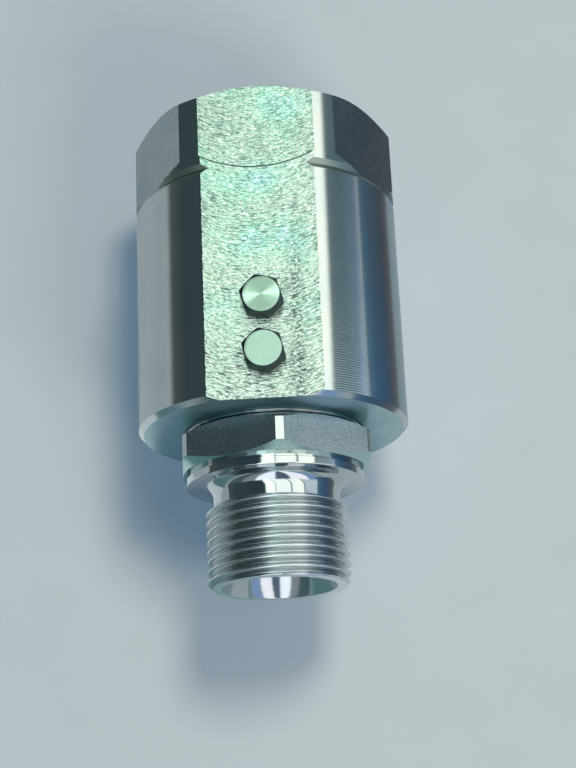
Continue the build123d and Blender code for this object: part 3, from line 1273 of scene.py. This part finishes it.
@dataclass(frozen=True)
class Room:
    """The room's light by direction: dark left, a three-bay window overhead, slate right.

    Its colours stand at their angle from overhead, towards +X, in degrees, each with its
    brightness. `far` is the room behind the hexagon, `near` the room in front of the stud,
    and `low_wall` the foot of the slate wall, paler than its top.
    """

    strength: float = 3.2
    gain: float = 1.26
    window_lean: float = 0.3
    window_rail: float = 34.0
    rail_colour: str = "7c8b8c"
    foot_colour: str = "d2dfe6"
    backdrop_colour: str = "bac3c5"
    fill_colour: str = "524e56"
    fill_lean: float = 2.1
    far: tuple[Stop, ...] = (
        (-180.0, "4d5d68", 1.0), (-104.0, "87938f", 1.0), (-96.0, "76807d", 1.0),
        (-92.0, "5a6060", 1.0), (-88.0, "4f5555", 1.0), (-81.0, "4b5252", 1.0),
        (-74.0, "3a494c", 1.0), (-60.0, "3c4b4d", 1.0), (-40.0, "33444a", 1.0),
        (-15.0, "33444a", 1.0), (-12.5, "e6faee", 2.1), (1.5, "ecfbf2", 2.1),
        (2.3, "8a9a98", 1.0), (3.7, "8a9a98", 1.0), (4.4, "f6fcf4", 1.45),
        (29.5, "f8fcf4", 1.45), (30.4, "93a09c", 1.0), (32.4, "93a09c", 1.0),
        (33.2, "f4faf0", 1.45), (53.9, "f8fcee", 1.5), (55.4, "62777b", 1.0),
        (69.0, "5a6e76", 1.0), (77.7, "657882", 1.0), (84.6, "65798a", 1.0),
        (91.0, "617887", 1.0), (94.0, "485f70", 1.0),
    )
    near: tuple[Stop, ...] = (
        (-180.0, "5d6f70", 1.0), (-93.0, "4e6468", 1.0), (-63.0, "4e6468", 1.0),
        (-58.0, "8a9498", 1.0), (-36.0, "8a9498", 1.0), (-32.0, "f0f6ff", 1.4),
        (1.0, "f0f6ff", 1.4), (4.0, "5d6d80", 1.0), (28.0, "5d6d80", 1.0),
        (31.0, "f6f0f6", 1.4), (63.0, "f6f0f6", 1.4), (67.0, "8494ac", 1.0),
        (71.0, "86a4cc", 1.0), (89.0, "86a4cc", 1.0), (93.0, "7f92ac", 1.0),
        (104.0, "e4ecee", 1.0),
    )
    low_wall: tuple[Stop, ...] = (
        (56.5, "6c8288", 1.0), (65.5, "738a8f", 1.0), (73.0, "778e98", 1.0),
        (77.0, "8298a6", 1.0), (82.0, "8399ab", 1.0), (84.5, "a2b6cc", 1.0),
        (86.6, "b2c8de", 1.0), (89.3, "9fb5cc", 1.0), (91.5, "8aa2b8", 1.0),
    )

    def shade(self, code: str, brightness: float = 1.0) -> Colour:
        """A hex colour of the room, times its brightness."""
        red, green, blue, _ = linear(code)
        share = brightness * self.gain / self.strength
        return (red * share, green * share, blue * share, 1.0)

    def about(self, p: Pattern, source: Socket, middle: float, reach: float) -> Socket:
        """One where an angle is within reach of a middle, else zero."""
        away = p.math("ABSOLUTE", p.math("SUBTRACT", source, middle))
        return p.math("LESS_THAN", away, reach)

    def round_ramp(self, p: Pattern, angle: Socket, stops: tuple[Stop, ...]) -> Socket:
        """Colours of the room at an angle in degrees."""
        share = p.math("MULTIPLY_ADD", angle, 1 / 360, 0.5)
        return p.ramp(share, [((a + 180) / 360, self.shade(*rest)) for a, *rest in stops])

    def build(self) -> None:
        """Make the world that lights the fitting and stands in its reflections.

        Reflections see the room, light scattered once sees a plain fill from the right,
        and the camera sees a pale backdrop.
        """
        world = bpy.data.worlds.new("room")
        bpy.context.scene.world = world
        world.use_nodes = True
        p = Pattern(world.node_tree)
        way = add_node(p.tree, "TexCoord").outputs["Generated"]
        side, deep, high = add_node(p.tree, "SeparateXYZ", {0: way}).outputs
        turn = p.math("MULTIPLY", p.math("ARCTAN2", side, high), 180 / pi)
        flat = p.math("SQRT", p.math("MULTIPLY_ADD", side, side, p.math("MULTIPLY", high, high)))
        depth = p.math("MULTIPLY", p.math("ARCTAN2", deep, flat), 180 / pi)
        right = p.spread(turn, -40.0, -10.0, kind="LINEAR")
        lean = p.math("MULTIPLY", p.math("SUBTRACT", depth, 16.0), -self.window_lean)
        leant = p.math("ADD", turn, p.math("MULTIPLY", lean, right))
        rail = self.about(p, depth, self.window_rail, 0.9)
        window = self.about(p, leant, 20.0, 33.0)
        seen = self.round_ramp(p, leant, self.far)
        seen = p.blend(p.math("MULTIPLY", rail, window), seen, self.shade(self.rail_colour))
        wall = self.about(p, leant, 74.5, 17.5)
        lower = p.math("MULTIPLY", wall, p.spread(depth, 25.0, 16.0, kind="LINEAR"))
        seen = p.blend(lower, seen, self.round_ramp(p, leant, self.low_wall))
        foot = p.math("MULTIPLY", wall, p.spread(depth, 15.6, 13.8, kind="LINEAR"))
        seen = p.blend(foot, seen, self.shade(self.foot_colour))
        near = p.spread(depth, -24.0, -14.0, 1.0, 0.0)
        seen = p.blend(near, seen, self.round_ramp(p, turn, self.near))
        lit = p.math("MAXIMUM", p.math("MULTIPLY_ADD", side, self.fill_lean, 1.0), 0.0)
        room, fill, plain = (
            add_node(p.tree, "Background", {"Color": colour, "Strength": strength})
            for colour, strength in (
                (seen, self.strength),
                (linear(self.fill_colour), lit),
                (linear(self.backdrop_colour), 1.0),
            )
        )
        path = add_node(p.tree, "LightPath")
        scattered = p.math("GREATER_THAN", path.outputs["Diffuse Depth"], 0.5)
        both = p.mixed(path.outputs["Is Camera Ray"], p.mixed(scattered, room, fill), plain)
        add_node(p.tree, "OutputWorld", {"Surface": both.outputs[0]})


@dataclass(frozen=True)
class Cards:
    """Cards that only reflections show: the standing ones stand in for the things round the
    fitting, and the lying ones paint the table's shade (left_card, floor_card) and a pale patch of
    light (pale_card) into reflections.
    """

    gain: float
    low: float = 0.0003
    front: tuple[float, float, float] = (0.3, -0.14, 0.012)
    front_colour: str = "6d8f94"
    # Lying cards: painted reflections of the table's shade (left_card, floor_card) and of light
    # (pale_card)
    flat_cards: tuple[tuple[str, str, float, float, float, float], ...] = (
        ("left_card", "5f7f84", -0.25, -0.004, -0.3, -0.0475),
        ("pale_card", "c4cecf", -0.12, -0.026, -0.047, -0.012),
        ("floor_card", "83939a", 0.027, 0.0515, -0.014, 0.12),
    )
    dark: tuple[float, float, float, float] = (0.0515, -0.06, 0.12, 0.039)
    dark_heights: tuple[float, ...] = (0.0, 0.3, 0.5, 0.8, 1.0)
    dark_near: tuple[str, ...] = ("6c7274", "555d66", "435a74", "436482", "5a7c94")
    dark_far: tuple[str, ...] = ("6c6c6c", "50525a", "47535e", "4a5f70", "567482")
    dark_blend: tuple[float, float] = (-0.005, 0.032)

    def card(self, name: str, corners: list[Place], finish: Material) -> Object:
        """Make one card.

        Args:
            name: Name of the card.
            corners: Its four corners in metres.
            finish: Its material.

        Returns:
            The card.
        """
        built = bmesh.new()
        built.faces.new([built.verts.new(corner) for corner in corners])
        card = Tools.body(name, built, finish)
        card.visible_camera = card.visible_diffuse = card.visible_shadow = False
        card.visible_transmission = card.visible_volume_scatter = False
        return card

    def dark_card(self) -> Object:
        """Navy card beside the barrel, browner at its foot."""
        x, near, far, top = self.dark
        s = Surface("navy_card")
        _, deep, high = add_node(
            s.tree, "SeparateXYZ", {0: add_node(s.tree, "TexCoord").outputs["Object"]}
        ).outputs
        share = s.spread(high, 0.0, top, kind="LINEAR")
        shades = [
            s.ramp(share, list(zip(self.dark_heights, (linear(code) for code in codes))))
            for codes in (self.dark_near, self.dark_far)
        ]
        back = s.spread(deep, *self.dark_blend, kind="LINEAR")
        s.shine(s.blend(back, *shades), self.gain)
        corners = [(x, near, 0.0), (x, far, 0.0), (x, far, top), (x, near, top)]
        return self.card("dark_card", corners, s.material)

    def build(self) -> list[Object]:
        """Make the dark card, a teal one before the stud and three lying on the table."""
        half, near, top = self.front
        front = [(-half, near, 0.0), (half, near, 0.0), (half, near, top), (-half, near, top)]
        places = [("front_card", self.front_colour, front)]
        for name, code, left, right, near, far in self.flat_cards:
            low = self.low
            flat = [(left, near, low), (right, near, low), (right, far, low), (left, far, low)]
            places.append((name, code, flat))
        return [self.dark_card()] + [
            self.card(name, corners, Surface.glowing(name, linear(code), self.gain))
            for name, code, corners in places
        ]


@dataclass(frozen=True)
class Studio:
    """Camera, table and lamps for the fitting."""

    eye: Place = (0.01436, -0.09935, 0.30527)
    right: Place = (0.99771, -0.04133, -0.05356)
    up: Place = (0.05601, 0.94872, 0.31110)
    back: Place = (0.03796, -0.31339, 0.94886)
    lens: float = 72.98
    sensor: float = 36.0
    nearest: float = 0.01
    lamps: tuple[tuple[float, float, float, float, float], ...] = (
        (0.1508, 0.2174, 0.5458, 0.085, 20.5),
        (0.1689, -0.2317, 0.2555, 0.078, 14.0),
    )
    lamp_colour: str = "fff1da"
    bounce_colour: str = "b0dbff"
    bounce_strength: float = 1.24
    table_reach: float = 4.0
    table_gap: float = 0.00002

    def camera(self) -> None:
        """Put the camera at the photograph's place."""
        data = bpy.data.cameras.new("camera")
        data.lens, data.sensor_width, data.clip_start = self.lens, self.sensor, self.nearest
        made = Tools.show(bpy.data.objects.new("camera", data))
        turn = Matrix((self.right, self.up, self.back)).transposed().to_4x4()
        made.matrix_world = Matrix.Translation(self.eye) @ turn
        bpy.context.scene.camera = made

    def light(self) -> None:
        """Hang the two soft lamps that throw the shadow to the left.

        Their light doesn't fall off with distance, so the table stays evenly bright. A weak
        blue sun that throws no shadow stands for the light the room sends back.
        """
        for number, (x, y, z, radius, power) in enumerate(self.lamps, 1):
            data = bpy.data.lights.new(f"soft_lamp_{number}", "POINT")
            data.shadow_soft_size, data.energy, data.use_nodes = radius, power, True
            tree = data.node_tree
            tree.nodes.clear()
            even = add_node(tree, "LightFalloff", {"Strength": 1.0}).outputs["Constant"]
            inputs = {"Color": linear(self.lamp_colour), "Strength": even}
            glow = add_node(tree, "Emission", inputs)
            add_node(tree, "OutputLight", {"Surface": glow.outputs[0]})
            self.hang(data, (x, y, z))
        data = bpy.data.lights.new("bounce", "SUN")
        data.energy, data.color = self.bounce_strength, linear(self.bounce_colour)[:3]
        data.use_shadow = False
        self.hang(data, (0.0, 0.0, 0.0))

    @staticmethod
    def hang(data: bpy.types.Light, place: Place) -> None:
        """Put a light in its place, unseen by the camera and by reflections."""
        made = Tools.show(bpy.data.objects.new(data.name, data))
        made.location = place
        made.visible_glossy = made.visible_camera = False

    def table(self) -> Object:
        """Pale table under the fitting."""
        built = bmesh.new()
        size = self.table_reach
        corners = ((-size, -size), (size, -size), (size, size), (-size, size))
        built.faces.new([built.verts.new((x, y, -self.table_gap)) for x, y in corners])
        return Tools.body("table", built, TableTop().build())


class Assembly:
    """Builds the fitting's pieces in order and ties each to its part of the model."""

    def __init__(self) -> None:
        """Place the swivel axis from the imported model."""
        low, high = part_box("housing")
        self.axis = SwivelAxis(height=(low[2] + high[2]) / 2, open_end=low[1])
        LOG.info("axis %.5f m up, open end at %.5f m", self.axis.height, self.axis.open_end)

    def tie(self, piece: Object, node: str, body: str) -> None:
        """Let a piece stand for a node of the model.

        Args:
            piece: The finished piece.
            node: Node that it replaces.
            body: Moving body that it rides on.
        """
        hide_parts(node)
        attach(piece, body)
        LOG.info("%s: %d faces, stands for %s", piece.name, len(piece.data.polygons), node)

    def turned(self, name: str, **changes: object) -> Material:
        """A turned and zinc-plated finish, with what differs from the usual one."""
        return TurnedZinc(name, self.axis, **changes).build()

    def milled(self, name: str, **changes: object) -> Material:
        """A milled and zinc-plated finish, with what differs from the usual one."""
        return MilledZinc(name, self.axis, **changes).build()

    @staticmethod
    def grainy(name: str, **changes: object) -> Material:
        """A grainy zinc-plated finish, with what differs from the usual one."""
        return GrainyZinc(name, **changes).build()

    def housing(self) -> None:
        """Build the housing."""
        turned, milled, grainy = self.turned, self.milled, self.grainy
        finish = HousingFinish(
            turned=turned("turned_zinc_barrel"),
            faced=turned("faced_zinc_ends", roughness=0.32, colour="a6c4c8", tint="92b2ba"),
            seats=turned("bored_zinc_seats", roughness=0.3),
            long_flat=milled("milled_zinc_long_flat"),
            front_hex=milled("milled_zinc_front_hexagon_flat", fleck_share=0.95, colour="aec7bb"),
            plain_hex=grainy(
                "milled_zinc_plain_hexagon_flat", roughness=0.3, contrast=0.12, grain_depth_mm=0.003
            ),
            scratched_hex=grainy(
                "milled_zinc_scratched_hexagon_flat",
                roughness=0.24,
                contrast=0.15,
                grain_depth_mm=0.004,
                scratches=0.5,
            ),
            rear_flat=milled("milled_zinc_rear_flat"),
            # The V groove's finish is darker than the barrel's: painted shade in the recess
            groove=turned(
                "grooved_zinc_barrel",
                roughness=0.3,
                feed_depth_mm=0.002,
                colour="8c9a92",
                tint="7f9087",
            ),
            port=turned("tapped_zinc_port_thread", roughness=0.24, feed_depth_mm=0.0),
        )
        piece = Housing(self.axis, finish, PipeThread()).build()
        self.tie(piece, "housing", "housing_group")

    def stem(self) -> None:
        """Build the stem."""
        finish = StemFinish(
            polished=self.turned(
                "polished_zinc_collar_and_neck",
                roughness=0.07,
                feed_depth_mm=0.0,
                scratch_depth_mm=0.001,
            ),
            # The thread's valleys carry painted shade, in groove_colour
            thread=self.turned(
                "rolled_zinc_thread",
                roughness=0.25,
                feed_depth_mm=0.0,
                groove_root=12.1,
                groove_crest=12.75,
                groove_colour="adb6b8",
                colour="ccd1d2",
                tint="c0cacf",
            ),
            cone=self.turned("bored_zinc_sealing_cone", roughness=0.1, feed_depth_mm=0.002),
            hexagon=self.grainy(
                "drawn_zinc_stem_hexagon",
                contrast=0.5,
                grain_depth_mm=0.007,
                colour="adb5b5",
                tint="9cabaf",
            ),
            crown=self.turned(
                "turned_zinc_hexagon_crown", roughness=0.16, colour="b0c8c4", tint="9ec2c8"
            ),
            # The stud's end face is paler than the other zinc: painted light that offsets the
            # shadowed table it reflects
            end=self.turned("faced_zinc_stud_end", roughness=0.42, colour="eaeeee", tint="dfe5e6"),
        )
        piece = Stem(self.axis, finish, PipeThread()).build()
        self.tie(piece, "stem", "stem_group")

    def plugs(self) -> None:
        """Build the two ball plugs."""
        # Painted shade: the plug heads' sides and chamfers are coloured dark to stand for the shade
        # on them
        side = PlainStuff("blackened_plug_sides", "39484c", 0.5, 1.0, 0.3, 0.01).build()
        # The two plugs are the same screw: the lower face's colours are darker than the upper's,
        # painted shade, and the upper's are paler, painted highlight
        for name, node, place, turn, fan, colour, tint in (
            ("upper_plug_head", "upper_ball_plug", 18.5, 46.0, 0.8, "c0dbcc", "b8d6c6"),
            ("lower_plug_head", "lower_ball_plug", 8.35, 43.0, 0.0, "98b1a5", "90aca0"),
        ):
            face = self.turned(
                f"turned_face_of_{name}",
                about=TurnedAbout.OWN_HEIGHT,
                roughness=0.32,
                fan=fan,
                feed_mm=0.3,
                feed_depth_mm=0.004,
                colour=colour,
                tint=tint,
            )
            piece = BallPlug(self.axis, face, side, name, place, turn).build()
            self.tie(piece, node, "housing_group")

    def inner_pieces(self) -> None:
        """Give the balls, wiper, seals and rings of the model their materials."""
        steel = PlainStuff("polished_bearing_steel", "c9cdd0", 0.08, 1.0, 0.4, 0.0004).build()
        rubber = PlainStuff("moulded_black_rubber", "1d1e20", 0.5, 0.0, 0.15).build()
        wiper = PlainStuff("moulded_wiper_rubber", "2f565c", 0.22, 0.0, 0.3, 0.001, 1.0).build()
        ptfe = PlainStuff("machined_white_ptfe", "e4e6e2", 0.4, 0.0, 0.25).build()
        guide = PlainStuff("turned_guide_plastic", "5b5a54", 0.45, 0.0, 0.25).build()
        for node, material in (
            ("upper_ball_row", steel),
            ("lower_ball_row", steel),
            ("dust_wiper", wiper),
            ("grease_seal", rubber),
            ("pressure_seal_energiser", rubber),
            ("pressure_seal_ring", ptfe),
            ("guide_ring", guide),
        ):
            piece = bpy.data.objects[node]
            for slot in piece.material_slots:
                slot.material = material
            LOG.info("%s dressed in %s", node, material.name)


def main() -> None:
    """Build the fitting, its table, light and camera."""
    logging.basicConfig(level=logging.INFO, format="%(message)s")
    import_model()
    assembly = Assembly()
    assembly.housing()
    assembly.stem()
    assembly.plugs()
    assembly.inner_pieces()
    studio, room = Studio(), Room()
    studio.table()
    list(Cards(room.gain).build())
    room.build()
    studio.light()
    studio.camera()
    bpy.context.scene.view_settings.view_transform = "Standard"


if __name__ == "__main__":
    main()
